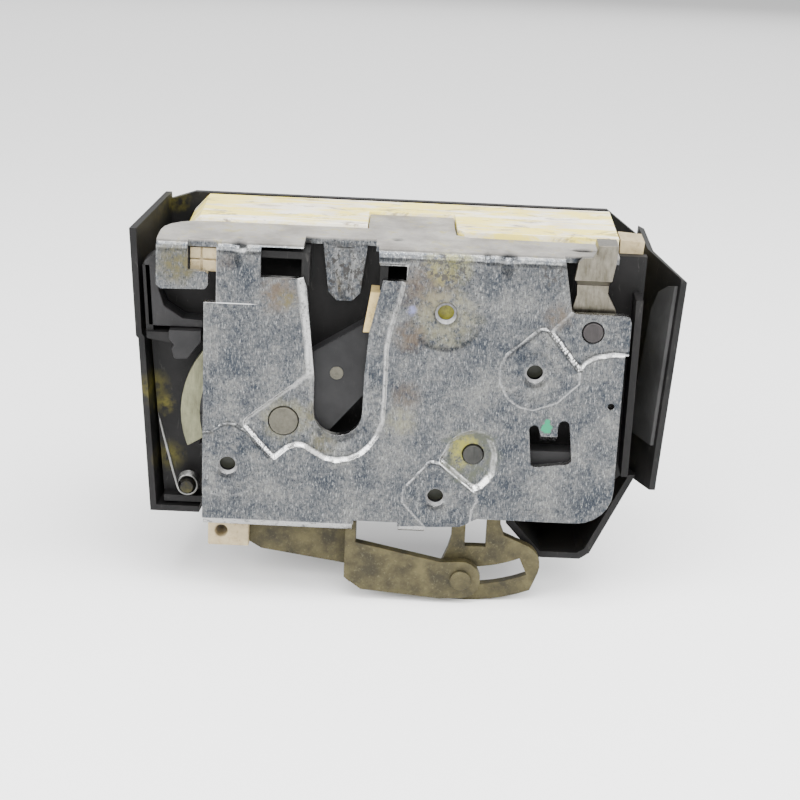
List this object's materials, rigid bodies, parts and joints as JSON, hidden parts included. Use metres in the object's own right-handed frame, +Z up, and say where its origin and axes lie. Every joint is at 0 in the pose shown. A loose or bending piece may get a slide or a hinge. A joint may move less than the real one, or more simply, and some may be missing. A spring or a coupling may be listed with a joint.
{
  "type": "car door latch",
  "caption": "Vehicle side-door rotary latch: steel face plate with striker slot, claw, pawl, release lever, rod link, lock lever and lock drive.",
  "frame": {"origin": "on the front face of the steel face plate, near its middle", "axes": "+X to the right seen from the front, +Y back into the latch, +Z up towards the side that the striker enters from"},
  "size_m": [0.142, 0.0566, 0.1033],
  "materials": {
    "zinc_plate": "mottled zinc plating",
    "black_plastic": "matt moulded",
    "claw_plastic": "matt moulded",
    "claw_steel": "greased zinc plating",
    "lever_steel": "plain",
    "bronze_levers": "olive chromate",
    "cream_plastic": "aged",
    "tan_buffer": "aged",
    "nickel_lever": "drawn",
    "dark_rivet": "dark",
    "rivet_steel": "peened",
    "spring_steel": "drawn wire",
    "white_nylon": "matt moulded",
    "motor_can": "plain",
    "brass_worm": "turned",
    "screw_steel": "dark zinc"
  },
  "bodies": {
    "latch_body": {"face_plate": "zinc_plate", "latch_frame": "black_plastic", "back_plate": "zinc_plate", "actuator_housing": "white_nylon", "outer_cover": "black_plastic", "slot_buffer": "tan_buffer", "window_block": "cream_plastic", "lever_guide": "cream_plastic", "claw_rivet": "rivet_steel", "pawl_pin": "rivet_steel", "lock_rivet": "dark_rivet", "claw_spring": "spring_steel", "pawl_spring": "spring_steel", "release_return_spring": "spring_steel", "connector_socket": "black_plastic", "lock_motor": "motor_can", "gear_axle": "rivet_steel", "microswitch": "black_plastic", "cover_screw_1": "screw_steel", "cover_screw_2": "screw_steel", "cover_screw_3": "screw_steel"},
    "claw": {"claw_core": "claw_steel", "claw_jacket": "claw_plastic"},
    "pawl": {"pawl": "lever_steel"},
    "release_lever": {"release_lever": "bronze_levers", "link_pin": "bronze_levers"},
    "handle_link": {"handle_link": "bronze_levers", "rod_clip": "cream_plastic"},
    "lock_lever": {"lock_lever": "nickel_lever"},
    "lock_slider": {"lock_slider": "black_plastic"},
    "drive_gear": {"drive_gear": "white_nylon"},
    "motor_worm": {"motor_worm": "brass_worm"}
  },
  "joints": [
    {"name": "claw_turn", "type": "hinge", "parent": "latch_body", "child": "claw", "pos_m": [-0.0338, 0.0065, -0.0075], "axis": [0, 1, 0], "range_deg": [0, 85], "stiffness_Nm_per_rad": 0.05, "springref_deg": -22.92},
    {"name": "release_lever_turn", "type": "hinge", "parent": "latch_body", "child": "release_lever", "pos_m": [0.0155, 0.0105, -0.0145], "axis": [0, 1, 0], "range_deg": [0, 14], "stiffness_Nm_per_rad": 0.2, "springref_deg": -17.19},
    {"name": "pawl_lift", "type": "hinge", "parent": "latch_body", "child": "pawl", "pos_m": [0.0155, 0.0065, -0.0145], "axis": [0, 1, 0], "range_deg": [0, 14]},
    {"name": "handle_link_swing", "type": "hinge", "parent": "release_lever", "child": "handle_link", "pos_m": [0.0143, 0.0073, -0.0528], "axis": [0, 1, 0], "range_deg": [-14, 0]},
    {"name": "motor_worm_turn", "type": "hinge", "parent": "latch_body", "child": "motor_worm", "pos_m": [-0.014, 0.03, 0.008], "axis": [1, 0, 0], "range_deg": [-384, 768]},
    {"name": "drive_gear_turn", "type": "hinge", "parent": "latch_body", "child": "drive_gear", "pos_m": [-0.014, 0.03, -0.0098], "axis": [0, 1, 0], "range_deg": [-16, 32]},
    {"name": "lock_slider_travel", "type": "slide", "parent": "latch_body", "child": "lock_slider", "axis": [1, 0, 0], "range_m": [-0.0022, 0.0043]},
    {"name": "lock_lever_turn", "type": "hinge", "parent": "latch_body", "child": "lock_lever", "pos_m": [0.044, 0.0049, 0.0201], "axis": [0, 1, 0], "range_deg": [-4, 8]}
  ],
  "couplings": [
    {"joint": "pawl_lift", "follows": "release_lever_turn", "ratio": 1},
    {"joint": "handle_link_swing", "follows": "release_lever_turn", "ratio": -1},
    {"joint": "motor_worm_turn", "follows": "drive_gear_turn", "ratio": 24},
    {"joint": "lock_slider_travel", "follows": "drive_gear_turn", "m_per_rad": 0.0075},
    {"joint": "lock_lever_turn", "follows": "drive_gear_turn", "ratio": 0.25}
  ]
}
